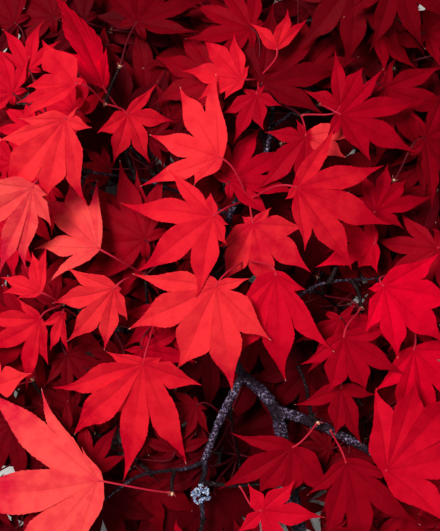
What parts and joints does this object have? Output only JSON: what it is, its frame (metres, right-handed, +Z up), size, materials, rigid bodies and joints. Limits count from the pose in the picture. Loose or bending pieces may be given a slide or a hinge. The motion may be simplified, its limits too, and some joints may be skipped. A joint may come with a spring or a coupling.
{
  "type": "cut japanese maple branch",
  "caption": "Leafy branch cut from a japanese maple in red autumn leaf, lying on a level surface with its forked limbs and overlapping palmate leaves.",
  "frame": {"origin": "on the level surface that the branch lies on, under the middle of its bounding box", "axes": "+Y from the cut end to the far side of the crown, +X to the right seen from above with the cut end near, +Z up, the way most leaves face"},
  "size_m": [0.3068, 0.3778, 0.1076],
  "materials": {
    "bark": "dark purplish brown bark with pale flecks",
    "bright_leaves": "scarlet to crimson leaves, a little satin",
    "deep_leaves": "deep red leaves, a little satin"
  },
  "bodies": {
    "root": {"main_stem": "bark", "leader_bough": "bark", "left_bough": "bark", "right_bough": "bark", "low_left_bough": "bark", "low_bough": "bark", "right_side_bough": "bark", "left_side_bough": "bark", "upper_left_bough": "bark", "upper_right_bough": "bark", "crown_spray": "bright_leaves", "middle_spray": "bright_leaves", "top_middle_spray": "bright_leaves", "top_right_spray": "bright_leaves", "top_edge_spray": "bright_leaves", "top_left_spray": "bright_leaves", "upper_left_spray": "bright_leaves", "left_middle_spray": "bright_leaves", "left_spray": "bright_leaves", "low_left_spray": "bright_leaves", "corner_left_spray": "bright_leaves", "far_low_left_spray": "bright_leaves", "foot_spray": "bright_leaves", "low_middle_spray": "bright_leaves", "crotch_spray": "bright_leaves", "low_right_spray": "bright_leaves", "right_spray": "bright_leaves", "right_middle_spray": "bright_leaves", "upper_right_spray": "bright_leaves", "under_left_spray": "deep_leaves", "under_middle_spray": "deep_leaves", "under_right_spray": "deep_leaves", "under_top_spray": "deep_leaves", "under_top_left_spray": "deep_leaves", "under_top_right_spray": "deep_leaves", "under_low_right_spray": "deep_leaves", "under_low_left_spray": "deep_leaves", "under_foot_spray": "deep_leaves"}
  },
  "joints": []
}
